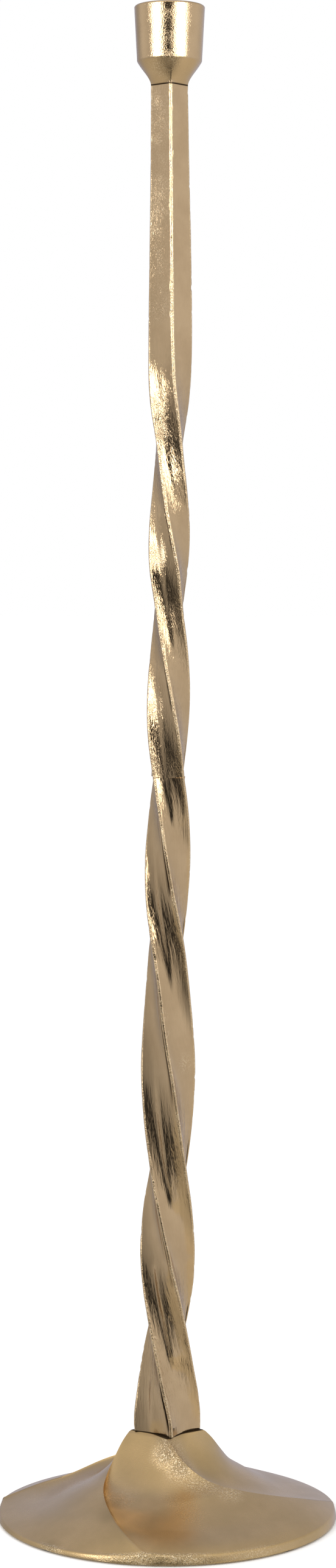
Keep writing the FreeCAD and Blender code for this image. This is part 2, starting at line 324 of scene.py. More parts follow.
def base_skin_rings():
    """Rings of the casting: up the bolt hole, over the neck, out to the rim and back under."""
    side_points = 96
    u = np.tile(np.linspace(0, 1, side_points, endpoint=False), 4)
    quarter = np.repeat(np.arange(4), side_points)
    flat = math.cos(math.pi / 4) / np.cos(np.pi / 2 * u - np.pi / 4)
    valley = np.sin(np.pi * u ** (math.log(0.5) / math.log(valley_place))) ** valley_ease
    rim_dip = np.array(rim_dips)[quarter] * np.sqrt(np.sin(np.pi * u))
    neck_corner = base_rows[0][0] * mm
    rings = []

    def ring(radius, angle, height):
        radius, height = radius + 0 * u, height + 0 * u
        rings.append(np.stack([radius * np.cos(angle), radius * np.sin(angle), height], 1))

    plain = math.radians(base_rows[0][1]) + np.pi / 2 * (quarter + u)
    neck = neck_corner * flat - neck_hollow * np.sin(np.pi * u)
    for radius, height in ((bolt_hole, seat_height), (bolt_hole, base_top)):
        ring(radius, plain, height)
    for share in (0.3, 0.6, 0.85):
        ring(bolt_hole + (neck - neck_rounding - bolt_hole) * share, plain, base_top)
    for turn in np.radians((0, 30, 60)):
        ring(neck - neck_rounding * (1 - math.sin(turn)), plain,
             base_top - neck_rounding * (1 - math.cos(turn)))
    out = np.concatenate([np.linspace(19.1, 28, 16), np.linspace(28.7, rim_radius / mm, 80)])
    angles, fronts, rears, depths, front_depths, squares = [
        smooth(base_rows, k, out) for k in range(1, 7)]
    late = late_sweep * growing(out, late_begins, 1.4)
    for i, distance in enumerate(out * mm):
        start = math.radians(angles[i]) + np.pi / 2 * quarter + late[i] * (quarter == 0)
        end = math.radians(angles[i]) + np.pi / 2 * (quarter + 1) + late[i] * (quarter == 3)
        crest = np.array([fronts[i], rears[i], rears[i], fronts[i], fronts[i]]) * mm
        height = crest[quarter] * (1 - u) + crest[quarter + 1] * u
        dip = valley_depth * valley * np.where(quarter == 3, front_depths[i], depths[i])
        at_rim = growing(out[i], dips_begin, 1.5)
        ring(distance * (1 - squares[i] + squares[i] * flat)
             - squares[i] * neck_hollow * np.sin(np.pi * u),
             start + (end - start) * u, height - dip * (1 - at_rim) - rim_dip * at_rim)
    angle = start + (end - start) * u
    crest = rings[-1][:, 2]
    for out_share, drop in ((0.35, 0.08), (0.6, 0.28), (0.9, 0.7), (1.0, 0.9)):
        ring(rim_radius + (foot_radius - rim_radius) * out_share, angle,
             crest * (1 - drop) + base_foot * drop)
    for inset, lift in ((0.2 * mm, 0.1 * mm), (0.7 * mm, 0.0)):
        ring(foot_radius - inset, angle, base_foot + lift)
    inner_edge = foot_radius - foot_ring
    ring(inner_edge, angle, base_foot)
    for row in base_rows[::-1]:
        radius = row[0] * mm - base_wall
        height = min(row[2], row[3]) * mm - valley_depth * row[4] - base_wall
        if radius < inner_edge and base_foot < height < seat_height:
            ring(radius, angle, height)
    ring(seat_radius, angle, seat_height)
    return np.array(rings)


skin("base_casting", base_skin_rings(), True, base_gold, "cast_base", "base")

# Four round pads of pressed felt are let into the underside of the foot ring.
# They keep the metal off the table top.
pad_radius = 5.0 * mm
pad_thickness = 2.4 * mm
pad_circle = foot_radius - foot_ring / 2


def felt_material():
    """Dark pressed felt: short fibres over a cloudy tone."""
    material, tree = new_material("dark_felt")
    vector = add(tree, "ShaderNodeTexCoord").outputs["Object"]
    fibre = noise(tree, vector, 2600, 3.0, 0.7)
    cloud = noise(tree, vector, 300, 2.0)
    colour = blend_colour(tree, stretch(tree, fibre, 0.3, 0.7), (0.028, 0.022, 0.018, 1),
                          (0.10, 0.085, 0.068, 1))
    colour = blend_colour(tree, calc(tree, "MULTIPLY", cloud, 0.5), colour,
                          (0.05, 0.042, 0.035, 1))
    rough = stretch(tree, fibre, 0.0, 1.0, 0.85, 1.0)
    surface(tree, {"Base Color": colour, "Roughness": rough, "Sheen Weight": 0.4,
                   "Normal": relief(tree, fibre, 0.3 * mm)})
    return material


def piece_tree(name, **sockets):
    """Geometry tree with named inputs, given by their kind."""
    tree = bpy.data.node_groups.new(name, "GeometryNodeTree")
    for kind, names in sockets.items():
        name_sockets(tree, "INPUT", kind, *names)
    name_sockets(tree, "OUTPUT", "Geometry", "Geometry")
    return tree, tree.nodes.new("NodeGroupInput").outputs


def grow(name, tree, values, start=None):
    """Plain mesh object made by a geometry tree with the given values."""
    worker = bpy.data.objects.new(name + "_work", start or bpy.data.meshes.new(name + "_work"))
    bpy.context.collection.objects.link(worker)
    modifier = worker.modifiers.new(name, "NODES")
    modifier.node_group = tree
    for item in tree.interface.items_tree:
        if item.in_out == "INPUT" and item.name in values:
            modifier[item.identifier] = values[item.name]
    made = worker.evaluated_get(bpy.context.evaluated_depsgraph_get())
    mesh = bpy.data.meshes.new_from_object(made)
    mesh.name = name
    worker.modifiers.clear()
    bpy.data.objects.remove(worker)
    piece = bpy.data.objects.new(name, mesh)
    bpy.context.collection.objects.link(piece)
    return piece


def pad_tree():
    """Round pads with a slightly fuzzy skin, spread round a circle."""
    tree, given = piece_tree(
        "felt_pads", Int=["Count"],
        Float=["Pad Radius", "Pad Thickness", "Circle", "First Angle", "Fuzz"],
        Material=["Material"])
    points = add(tree, "GeometryNodePoints", {"Count": given["Count"]}).outputs[0]
    index = add(tree, "GeometryNodeInputIndex").outputs[0]
    step = calc(tree, "DIVIDE", 2 * math.pi, given["Count"])
    angle = calc(tree, "MULTIPLY_ADD", index, step, given["First Angle"])
    place = add(tree, "ShaderNodeCombineXYZ", {
        0: calc(tree, "MULTIPLY", given["Circle"], calc(tree, "COSINE", angle)),
        1: calc(tree, "MULTIPLY", given["Circle"], calc(tree, "SINE", angle)),
        2: calc(tree, "MULTIPLY", given["Pad Thickness"], 0.5)})
    placed = add(tree, "GeometryNodeSetPosition", {0: points, "Position": place.outputs[0]})
    disc = add(tree, "GeometryNodeMeshCylinder", {
        "Vertices": 40, "Side Segments": 4, "Fill Segments": 5,
        "Radius": given["Pad Radius"], "Depth": given["Pad Thickness"]}).outputs["Mesh"]
    spread = add(tree, "GeometryNodeInstanceOnPoints", {
        "Points": placed.outputs[0], "Instance": disc}).outputs[0]
    solid = add(tree, "GeometryNodeRealizeInstances", {0: spread}).outputs[0]
    where = add(tree, "GeometryNodeInputPosition").outputs[0]
    rough = calc(tree, "SUBTRACT", noise(tree, where, 900.0), 1.0)
    normal = add(tree, "GeometryNodeInputNormal").outputs[0]
    push = add(tree, "ShaderNodeVectorMath", {
        0: normal, "Scale": calc(tree, "MULTIPLY", rough, given["Fuzz"])}, operation="SCALE")
    soft = add(tree, "GeometryNodeSetPosition", {0: solid, "Offset": push.outputs[0]})
    finished = add(tree, "GeometryNodeSetMaterial", {
        0: soft.outputs[0], "Material": given["Material"]})
    add(tree, "NodeGroupOutput", {0: finished.outputs[0]})
    return tree


felt = felt_material()
pads = grow("felt_pads", pad_tree(), {
    "Count": 4, "Pad Radius": pad_radius, "Pad Thickness": pad_thickness,
    "Circle": pad_circle, "First Angle": math.radians(45), "Fuzz": 0.12 * mm,
    "Material": felt})
finish_piece(pads, felt, "felt", "foot_pads")

# A hexagon bolt with a flat washer and a spring washer comes up through the
# neck, and two studs sit in tapped holes at the joints. All are zinc plated
# steel, bought as standard parts.


def zinc_material():
    """Zinc plate on steel, with a faint spangle."""
    material, tree = new_material("zinc_plate")
    vector = add(tree, "ShaderNodeTexCoord").outputs["Object"]
    spangle = noise(tree, vector, 500, 3.0, 0.6)
    fine = noise(tree, vector, 3000, 2.0)
    colour = blend_colour(tree, spangle, (0.50, 0.51, 0.54, 1), (0.68, 0.69, 0.70, 1))
    rough = stretch(tree, spangle, 0.2, 0.8, 0.28, 0.45)
    surface(tree, {"Base Color": colour, "Metallic": 1.0, "Roughness": rough,
                   "Normal": relief(tree, fine, 0.05 * mm, 0.5)})
    return material


zinc = zinc_material()
for node in ("base_bolt", "base_washer", "base_lock_washer", "stem_stud", "cup_stud"):
    for place in bpy.data.objects[node].material_slots:
        place.material = zinc

# The stem is two castings of twisted square bar with hollow faces and a bead
# up each corner. A stud joins them at half height, where a fine seam shows.
# The lower one is twisted all the way and grows towards the foot.
bead_radius = 1.1 * mm
bead_spread = math.radians(52)
stem_rings = 300


def twisted_bar_tree():
    """Bar swept up a row of stations, each with the numbers that bar_stations gives it."""
    tree, given = piece_tree(
        "twisted_bar", Geometry=["Stations"], Int=["Rings", "Bead Points", "Face Points"],
        Float=["Bead Radius", "Bead Spread", "Groove Depth", "Groove Width", "Facet Share",
               "Dents", "Waviness", "Seed"],
        Material=["Material"])

    def attribute(name, kind="FLOAT"):
        found = add(tree, "GeometryNodeInputNamedAttribute", {"Name": name}, data_type=kind)
        return found.outputs[0]

    def store(geometry, name, value, kind="FLOAT"):
        return add(tree, "GeometryNodeStoreNamedAttribute", {
            "Geometry": geometry, "Name": name, "Value": value},
            data_type=kind, domain="POINT").outputs[0]

    def vector(x, y, z=0.0):
        return add(tree, "ShaderNodeCombineXYZ", {0: x, 1: y, 2: z}).outputs[0]

    def plus(a, b, operation="ADD"):
        return add(tree, "ShaderNodeVectorMath", {0: a, 1: b}, operation=operation).outputs[0]

    def scaled(a, factor):
        return add(tree, "ShaderNodeVectorMath", {0: a, "Scale": factor},
                   operation="SCALE").outputs[0]

    def turned(a, angle):
        return add(tree, "ShaderNodeVectorRotate", {"Vector": a, "Angle": angle},
                   rotation_type="Z_AXIS").outputs[0]

    rail = add(tree, "GeometryNodeMeshToCurve", {0: given["Stations"]}).outputs[0]
    rail = add(tree, "GeometryNodeCurveSplineType", {0: rail},
               spline_type="CATMULL_ROM").outputs[0]
    rail = add(tree, "GeometryNodeResampleCurve", {0: rail, "Count": given["Rings"]}).outputs[0]
    side = calc(tree, "MULTIPLY_ADD", given["Bead Points"], 2, given["Face Points"])
    circle = add(tree, "GeometryNodeCurvePrimitiveCircle", {
        "Resolution": calc(tree, "MULTIPLY", side, 4), "Radius": 1 * mm}).outputs[0]
    circle = store(circle, "place", add(tree, "GeometryNodeInputIndex").outputs[0])
    bar = add(tree, "GeometryNodeCurveToMesh", {"Curve": rail, "Profile Curve": circle,
                                                "Fill Caps": True}).outputs[0]

    # where a point stands round the bar: which quarter, and how far along its
    # first bead, its face and its second bead
    place = attribute("place")
    quarter = calc(tree, "FLOOR", calc(tree, "DIVIDE", calc(tree, "ADD", place, 0.5), side))
    step = calc(tree, "SUBTRACT", place, calc(tree, "MULTIPLY", quarter, side))
    left = calc(tree, "SUBTRACT", side, step)
    first = stretch(tree, calc(tree, "DIVIDE", step, given["Bead Points"]), 0, 1, kind="LINEAR")
    second = stretch(tree, calc(tree, "DIVIDE", left, given["Bead Points"]), 0, 1, kind="LINEAR")
    across = calc(tree, "DIVIDE", calc(tree, "SUBTRACT", step, given["Bead Points"]),
                  given["Face Points"])
    across = stretch(tree, across, 0, 1, kind="LINEAR")
    # points stand closer together towards the ends of a face
    crowding = 0.7
    wave = calc(tree, "SINE", calc(tree, "MULTIPLY", across, 2 * math.pi))
    across = calc(tree, "SUBTRACT", across,
                  calc(tree, "MULTIPLY", wave, crowding / (2 * math.pi)))
    from_end = calc(tree, "SUBTRACT", 1.0, across)

    # the plain section: two bead arcs and a straight face between them
    bead = given["Bead Radius"]
    middle = calc(tree, "SUBTRACT", attribute("corner"), bead)
    heading = calc(tree, "MULTIPLY", quarter, math.pi / 2)
    ends = []
    for share, sign in ((first, 1), (second, -1)):
        swing = calc(tree, "MULTIPLY", share, given["Bead Spread"])
        x = calc(tree, "MULTIPLY_ADD", calc(tree, "COSINE", swing), bead, middle)
        y = calc(tree, "MULTIPLY", calc(tree, "MULTIPLY", calc(tree, "SINE", swing), bead), sign)
        ends.append(vector(x, y))
    start = turned(ends[0], heading)
    end = turned(ends[1], calc(tree, "ADD", heading, math.pi / 2))
    section = add(tree, "ShaderNodeMix", {0: across, 4: start, 5: end},
                  data_type="VECTOR").outputs[1]

    # how far the face dips: its hollow, a groove beside its end bead, less a
    # flat facet that is raised across the hollow at the waists
    arch = calc(tree, "MULTIPLY", from_end, across)
    dip = calc(tree, "MULTIPLY", calc(tree, "MULTIPLY", arch, 4.0), attribute("hollow"))
    edge = calc(tree, "MULTIPLY", from_end, calc(tree, "MULTIPLY", middle, 1.4))
    off_groove = calc(tree, "ABSOLUTE", calc(tree, "SUBTRACT", edge, given["Groove Width"]))
    groove = stretch(tree, off_groove, given["Groove Width"], 0.0)
    corner_angle = calc(tree, "MULTIPLY_ADD", calc(tree, "ADD", quarter, 1), math.pi / 2,
                        attribute("turn"))

    def on_side(bearing, low, high):
        """1 where the face's end corner points to a bearing or away from it."""
        apart = calc(tree, "SUBTRACT", corner_angle, math.radians(bearing))
        return stretch(tree, calc(tree, "COSINE", calc(tree, "MULTIPLY", apart, 2.0)), low, high)

    groove = calc(tree, "MULTIPLY", groove, calc(tree, "MULTIPLY", attribute("groove"),
                                                 on_side(250, 0.1, 0.5)))
    dip = calc(tree, "MULTIPLY_ADD", groove, given["Groove Depth"], dip)
    facet = calc(tree, "MINIMUM", stretch(tree, across, 0.30, 0.50),
                 stretch(tree, across, 1.0, 0.50, kind="LINEAR"))
    facet = calc(tree, "MULTIPLY", facet, calc(tree, "MULTIPLY", attribute("waist"),
                                               on_side(300, 0.0, 0.4)))
    raised = calc(tree, "MULTIPLY", attribute("hollow"), given["Facet Share"])
    dip = calc(tree, "SUBTRACT", dip, calc(tree, "MULTIPLY", facet, raised))
    inward = turned(vector(calc(tree, "MULTIPLY", dip, -1.0), 0.0),
                    calc(tree, "ADD", heading, math.pi / 4))
    section = plus(section, inward)

    # the skin of the casting: waviness all over, dents on the beads only
    height = add(tree, "ShaderNodeSeparateXYZ", {
        0: add(tree, "GeometryNodeInputPosition").outputs[0]}).outputs[2]
    straight = plus(section, vector(0.0, 0.0, height))
    shifted = plus(straight, vector(given["Seed"], given["Seed"], given["Seed"]))
    wavy = calc(tree, "SUBTRACT", noise(tree, shifted, 90.0, 2.0), 0.5)

    def fading(distance):
        """1 on a bead, and 0 from a thirtieth of the face's width on."""
        share = calc(tree, "MINIMUM", calc(tree, "MULTIPLY", distance, 30.0), 1.0)
        return calc(tree, "SUBTRACT", 1.0, share)

    on_bead = calc(tree, "MAXIMUM", fading(across), fading(from_end))
    dent = stretch(tree, noise(tree, shifted, 260.0, 1.0), 0.60, 0.78)
    dent = calc(tree, "MULTIPLY", calc(tree, "MULTIPLY", dent, on_bead), given["Dents"])
    push = calc(tree, "SUBTRACT", calc(tree, "MULTIPLY", wavy, given["Waviness"]), dent)
    outward = add(tree, "ShaderNodeVectorMath", {0: section}, operation="NORMALIZE").outputs[0]
    section = plus(section, scaled(outward, push))
    final = plus(turned(section, attribute("turn")), vector(attribute("drift"), 0.0, height))

    # the untwisted place goes along, so that grain and streaks follow the twist
    bar = store(bar, "straight", straight, "FLOAT_VECTOR")
    bar = store(bar, "bead", on_bead)
    bar = store(bar, "groove_mask", groove)
    bar = add(tree, "GeometryNodeSetPosition", {0: bar, "Position": final}).outputs[0]
    bar = add(tree, "GeometryNodeSetMaterial", {
        0: bar, "Material": given["Material"]}).outputs[0]
    add(tree, "NodeGroupOutput", {0: bar})
    return tree


# x, y, z and reach in millimetres, and strength, of the places on the stem's edges
# that were left rough, and of a row of them down the left face under the cup, all
# with pale painted glints
rough_edges = [(-6.4, -5.8, 543, 9, 0.6), (-9, -4, 556, 12, 0.7), (-8.8, -3.9, 483, 12, 0.6),
               (-10.1, -2.7, 408, 12, 0.5), (8, -3.7, 229.5, 7, 0.5), (-1.7, -11.4, 238, 4, 0.7),
               (-1.5, -11.4, 246, 4, 0.7), (-2, -11.4, 255, 4, 0.7), (-6.3, -10.6, 92, 3, 0.7)]
speckled_face = [(-6.5, -6.5, height, 12, 0.3) for height in range(604, 712, 9)]


def stem_masks(tree):
    """Painted shade in the grooves, dark lines at the joints, rubbed beads with painted glints,
    and streaks at the waists.
    """
    def attribute(name, output):
        return add(tree, "ShaderNodeAttribute", attribute_name=name).outputs[output]
    vector = attribute("straight", "Vector")
    height = add(tree, "ShaderNodeSeparateXYZ", {0: vector}).outputs[2]
    # painted shade: the grooves beside the beads are painted near black
    joints_and_painted_shade = stretch(tree, attribute("groove_mask", "Fac"), 0.05, 0.45)
    for joint in (base_top, cup_joint):
        apart = calc(tree, "ABSOLUTE", calc(tree, "SUBTRACT", height, joint))
        joints_and_painted_shade = calc(tree, "MAXIMUM", joints_and_painted_shade, stretch(tree, apart, 0.4 * mm, 0.1 * mm))
    wear = calc(tree, "MULTIPLY", attribute("bead", "Fac"), 0.35)
    place = add(tree, "ShaderNodeTexCoord").outputs["Object"]
    # the rough places and the beads get pale painted glints
    coarse = calc(tree, "MAXIMUM", near(tree, place, rough_edges + speckled_face),
                  calc(tree, "MULTIPLY", attribute("bead", "Fac"), 0.5))
    streaked = stretch(tree, attribute("waist", "Fac"), 0.0, 1.0, 0.12, 1.0)
    return {"Vector": vector, "Wear and Painted Shade": wear, "Joints and Painted Shade": joints_and_painted_shade, "Coarse": coarse,
            "Relief Mask": streaked}


bar_tree = twisted_bar_tree()
cup_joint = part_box("candle_cup")[0][2]
stem_tones = {"Light Tone": (0.65, 0.478, 0.288, 1), "Deep Tone": (0.48, 0.335, 0.19, 1)}
lower_stem_gold = cast_gold("lower_stem_gold", {
    **stem_tones, "Satin": 0.14, "Streak Depth": 0.13, "Streak Stretch": 0.12,
    "Grain Depth": 0.06, "Coarse Depth": 0.2}, stem_masks)
upper_stem_gold = cast_gold("upper_stem_gold", {
    **stem_tones, "Satin": 0.17, "Streak Depth": 0.08, "Streak Stretch": 0.22,
    "Grain Depth": 0.27, "Coarse Depth": 0.18}, stem_masks)


def bar_stations(name, rows):
    """Row of points up the axis that carries the numbers of each row."""
    mesh = bpy.data.meshes.new(name)
    mesh.from_pydata([(0, 0, row[0] * mm) for row in rows],
                     [(i, i + 1) for i in range(len(rows) - 1)], [])
    columns = {"turn": [math.radians(row[1] - 90) for row in rows],
               "corner": [row[2] * mm for row in rows],
               "hollow": [row[3] * mm for row in rows],
               "drift": [row[4] * mm for row in rows],
               "groove": [row[5] for row in rows],
               "waist": [row[6] for row in rows]}
    for column, values in columns.items():
        mesh.attributes.new(column, "FLOAT", "POINT").data.foreach_set("value", values)
    return mesh


def stem_casting(name, node, slot, gold, rows, groove, seed):
    """One cast length of the stem from its rows. Its grooves are as wide as they are deep."""
    piece = grow(name, bar_tree, {
        "Rings": stem_rings, "Bead Points": 4, "Face Points": 30,
        "Bead Radius": bead_radius, "Bead Spread": bead_spread,
        "Groove Depth": groove, "Groove Width": groove, "Facet Share": 1.1,
        "Dents": 0.3 * mm, "Waviness": 0.14 * mm, "Seed": seed, "Material": gold},
        bar_stations(name, rows))
    for spare in ("place", "turn", "corner", "hollow", "drift", "groove"):
        piece.data.attributes.remove(piece.data.attributes[spare])
    point_outwards(piece.data)
    finish_piece(piece, gold, slot, node)


# height, angle, corner distance, hollow, sideways drift, share of the groove, and
# how far the station is part of a waist, with its facet and its streaks
lower_rows = [
    (44, 547.1, 16.75, 2.2, 0.0, 0.0, 0.0),
    (52, 545.0, 16.7, 2.0, 0.0, 0.8, 0.4),
    (64, 534.5, 15.4, 2.1, 0.1, 1.0, 0.7),
    (80, 518.3, 13.6, 2.1, 0.0, 1.0, 0.9),
    (98, 493.9, 12.8, 2.0, 0.3, 0.7, 1.0),
    (117, 470.0, 13.4, 2.0, 0.3, 0.5, 1.0),
    (125.5, 460.5, 13.6, 2.0, 0.15, 0.2, 0.7),
    (130.5, 455.5, 13.65, 2.0, 0.1, 0.2, 0.1),
    (136, 451.3, 13.7, 2.0, 0.0, 0.4, 0.0),
    (156, 430.0, 13.0, 1.9, 0.1, 0.5, 0.3),
    (176.6, 404.8, 12.5, 1.8, 0.5, 0.6, 1.0),
    (202, 383.1, 13.3, 1.8, 0.3, 0.4, 0.9),
    (226, 366.7, 13.65, 1.7, 0.2, 0.4, 0.1),
    (248, 350.4, 12.7, 1.5, 0.1, 0.6, 0.0),
    (270, 336.0, 11.6, 1.4, -0.1, 0.4, 0.3),
    (291.6, 315.6, 11.25, 1.3, -0.5, 0.4, 1.0),
    (312, 290.0, 11.15, 1.3, -0.6, 0.5, 0.9),
    (332, 267.7, 11.3, 1.2, -0.2, 0.5, 0.2),
    (352, 247.0, 10.9, 1.1, 0.3, 0.4, 0.7),
    (372.5, 223.0, 10.65, 1.1, 0.4, 0.3, 0.8),
]
stem_casting("lower_stem_casting", "lower_stem", "cast_lower_stem", lower_stem_gold,
             lower_rows, groove=1.0 * mm, seed=3.0)

upper_rows = [
    (372.5, 228.5, 10.65, 1.1, -0.2, 0.3, 0.8),
    (392, 211.0, 11.3, 1.1, -0.3, 0.4, 0.7),
    (413, 188.5, 10.75, 1.0, 0.1, 0.5, 0.5),
    (434, 162.5, 9.8, 0.9, 0.4, 0.5, 0.6),
    (455, 137.0, 9.35, 0.8, 0.2, 0.4, 0.9),
    (475, 117.5, 10.5, 0.8, 0.0, 0.4, 0.6),
    (496, 90.8, 10.05, 0.75, 0.4, 0.5, 0.5),
    (516, 67.0, 9.1, 0.65, 0.5, 0.4, 0.8),
    (536, 46.0, 8.7, 0.5, 0.3, 0.3, 1.0),
    (561, 17.8, 10.4, 0.45, 0.3, 0.2, 0.6),
    (586, 7.0, 10.8, 0.20, 0.6, 0.0, 0.05),
    (629, 4.0, 10.3, 0.2, 0.6, 0.0, 0.4),
    (673, 3.6, 9.5, 0.1, 0.3, 0.0, 0.2),
    (711.5, 4.0, 9.1, 0.1, 0.0, 0.0, 0.2),
]
stem_casting("upper_stem_casting", "upper_stem", "cast_upper_stem", upper_stem_gold,
             upper_rows, groove=0.6 * mm, seed=11.0)

# The candle cup is one casting, bored for the candle. A round wall that opens
# a little upwards stands on a cone that runs down to the square of the stem.
# A stud in its foot holds it.
cup_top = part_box("candle_cup")[1][2]
cup_shoulder = cup_joint + 11.6 * mm
shoulder_radius = 15.9 * mm
cup_rim_radius = 17.3 * mm
cup_rim_rounding = 1.2 * mm
bore_radius = 11.75 * mm
bore_floor = cup_top - 22.5 * mm
bore_floor_rounding = 0.5 * mm
bore_lead_in = 0.8 * mm
stud_hole = 3.05 * mm
stem_head = upper_rows[-1][2] * mm
head_angle = math.radians(upper_rows[-1][1] - 90)
# x, y, z and reach in millimetres, and strength, of the places left rough at the
# front, with pale painted glints, and of a patch of painted shade on the cone
rough_front = [(-5, -13, 717, 9, 0.4), (0, -15, 722, 8, 0.4), (0, -17, 732, 7, 0.25),
               (0, -17, 744, 7, 0.25)]
painted_shade_cone = [(-1, -13, 718, 10, 0.22)]


def cup_masks(tree):
    """Dark line at the joint, the rough places, and the painted shade on the cone."""
    vector = add(tree, "ShaderNodeTexCoord").outputs["Object"]
    height = add(tree, "ShaderNodeSeparateXYZ", {0: vector}).outputs[2]
    joint = stretch(tree, height, cup_joint + 0.7 * mm, cup_joint + 0.2 * mm)
    coarse = near(tree, vector, rough_front)
    # painted shade: a darker patch on the front of the cone
    painted_shade = near(tree, vector, painted_shade_cone)
    return {"Vector": vector, "Joints and Painted Shade": calc(tree, "MAXIMUM", joint, painted_shade), "Coarse": coarse}


cup_gold = cast_gold("cup_gold", {
    **stem_tones, "Satin": 0.17, "Relief Mask": 1.0, "Streak Depth": 0.0, "Streak Stretch": 0.8,
    "Grain Depth": 0.13, "Coarse Depth": 0.2}, cup_masks)


def cup_skin_rings():
    """Rings of the cup: up the bore, over the rim, down to the square and up the tapped hole."""
    side_points = 48
    bead_points = 5
    step = np.arange(side_points)
    face_points = side_points - 2 * bead_points
    first = np.clip(step / bead_points, 0, 1)
    second = np.clip((side_points - step) / bead_points, 0, 1)
    across = np.clip((step - bead_points) / face_points, 0, 1)
    bead_share = bead_radius / shoulder_radius
    square, around = [], []

    def corner(share, sign, angle):
        x = stem_head - bead_radius + bead_radius * np.cos(share * bead_spread)
        y = sign * bead_radius * np.sin(share * bead_spread)
        return np.stack([x * math.cos(angle) - y * math.sin(angle),
                         x * math.sin(angle) + y * math.cos(angle)], 1)

    for quarter in range(4):
        heading = head_angle + math.pi / 2 * quarter
        start, end = corner(first, 1, heading), corner(second, -1, heading + math.pi / 2)
        square.append(start + (end - start) * across[:, None])
        turn = first * bead_share
        turn = np.where(across > 0, bead_share + (math.pi / 2 - 2 * bead_share) * across, turn)
        turn = np.where(across >= 1, math.pi / 2 - second * bead_share, turn)
        around.append(heading + turn)
    square, around = np.concatenate(square), np.concatenate(around)
    circle = np.stack([np.cos(around), np.sin(around)], 1)
    rings = []

    def ring(outline, height):
        rings.append(np.column_stack([outline, np.full(len(outline), height)]))

    for share in (0.04, 0.35, 0.7):
        ring(circle * bore_radius * share, bore_floor)
    ring(circle * (bore_radius - bore_floor_rounding), bore_floor)
    ring(circle * bore_radius, bore_floor + bore_floor_rounding)
    for height in np.linspace(bore_floor + 2 * mm, cup_top - bore_lead_in, 12):
        ring(circle * bore_radius, height)
    ring(circle * (bore_radius + bore_lead_in), cup_top - 0.05 * mm)
    ring(circle * (bore_radius + 1.0 * mm), cup_top)
    rim_start = cup_rim_radius - cup_rim_rounding
    wall_top = cup_top - cup_rim_rounding
    ring(circle * rim_start, cup_top)
    for turn in np.radians((20, 40, 60, 80)):
        ring(circle * (rim_start + cup_rim_rounding * math.sin(turn)),
             wall_top + cup_rim_rounding * math.cos(turn))
    for share in np.linspace(0, 1, 40):
        height = wall_top * (1 - share) + (cup_shoulder + 0.3 * mm) * share
        radius = shoulder_radius + (cup_rim_radius - shoulder_radius) * (
            (height - cup_shoulder) / (cup_top - cup_shoulder))
        ring(circle * radius, height)
    ring(circle * (shoulder_radius - 0.06 * mm), cup_shoulder)
    for share in np.linspace(0.03, 1, 24):
        squareness = share ** 2.5
        radius = shoulder_radius * (1 - share) + stem_head * share
        outline = circle * radius * (1 - squareness) + square * squareness
        ring(outline, cup_shoulder * (1 - share) + cup_joint * share)
    for share in (0.8, 0.5):
        ring(square * share, cup_joint)
    for radius, depth in ((stud_hole, 0), (stud_hole, 10 * mm), (0.1 * mm, 11 * mm)):
        ring(circle * radius, cup_joint + depth)
    return np.array(rings)


skin("candle_cup_casting", cup_skin_rings(), False, cup_gold, "cast_cup", "candle_cup")

# The stand is on a plain pale floor that goes on out of sight. The floor isn't
# mirrored in the metal: there the darker lower part of the room shows instead.
floor_half = 40.0
floor_mesh = bpy.data.meshes.new("floor")
floor_mesh.from_pydata([(-floor_half, -floor_half, 0), (floor_half, -floor_half, 0),
                        (floor_half, floor_half, 0), (-floor_half, floor_half, 0)],
                       [], [(0, 1, 2, 3)])
floor = bpy.data.objects.new("floor", floor_mesh)
bpy.context.collection.objects.link(floor)
floor_paint, tree = new_material("pale_floor")
matt = add(tree, "ShaderNodeBsdfDiffuse", {"Color": (0.86, 0.855, 0.85, 1)})
clear = add(tree, "ShaderNodeBsdfTransparent")
glossy = add(tree, "ShaderNodeLightPath").outputs["Is Glossy Ray"]
mixed = add(tree, "ShaderNodeMixShader", {0: glossy, 1: matt.outputs[0], 2: clear.outputs[0]})
add(tree, "ShaderNodeOutputMaterial", {0: mixed.outputs[0]})
floor_mesh.materials.append(floor_paint)

# The studio is a pale room, darkest behind the camera, which itself sees only
# white. Two soft boxes hang beside the camera, from a little below the cup
# upwards, and two weak lamps light the stand from its left and right.
world = bpy.data.worlds.new("studio")
bpy.context.scene.world = world
world.use_nodes = True
tree = world.node_tree
tree.nodes.clear()
look = add(tree, "ShaderNodeSeparateXYZ", {
    0: add(tree, "ShaderNodeTexCoord").outputs["Generated"]}).outputs
bearing = calc(tree, "ARCTAN2", look[0], calc(tree, "MULTIPLY", look[1], -1.0))
bearing = calc(tree, "MULTIPLY_ADD", bearing, 1 / (2 * math.pi), 0.5)
elevation = calc(tree, "MULTIPLY", calc(tree, "ARCSINE", look[2]), 180 / math.pi)
# bearing in degrees, counted from the camera to the right, and brightness there:
# far below, below, level with the stand, and above
under_light = [(-180, 0.60), (-60, 0.66), (-28, 0.34), (-8, 0.10), (8, 0.10), (28, 0.40),
               (60, 0.78), (180, 0.60)]
below_light = [(-180, 0.60), (-120, 0.62), (-60, 0.56), (-26, 0.48), (0, 0.50), (26, 0.60),
               (60, 0.78), (120, 0.70), (180, 0.60)]
low_light = [(-180, 0.55), (-142, 0.46), (-105, 0.62), (-80, 0.54), (-58, 0.42), (-40, 0.34),
             (-26, 0.09), (-8, 0.03), (10, 0.06), (22, 0.38), (48, 0.78), (100, 0.74),
             (125, 0.70), (150, 0.62), (180, 0.57)]
top_light = [(-180, 0.52), (-120, 0.61), (-90, 0.72), (-60, 0.85), (0, 1.10), (60, 0.80),
             (120, 0.58), (180, 0.52)]


def around_room(stops):
    """Brightness round the room from pairs of bearing and brightness."""
    made = add(tree, "ShaderNodeValToRGB", {0: bearing})
    made.color_ramp.interpolation = "EASE"
    points = made.color_ramp.elements
    points[0].position, points[1].position = 0.0, 1.0
    for stop in stops[1:-1]:
        points.new(stop[0] / 360 + 0.5)
    for point, (place, grey) in zip(points, stops):
        point.color = (grey, grey, grey, 1)
    return made.outputs[0]


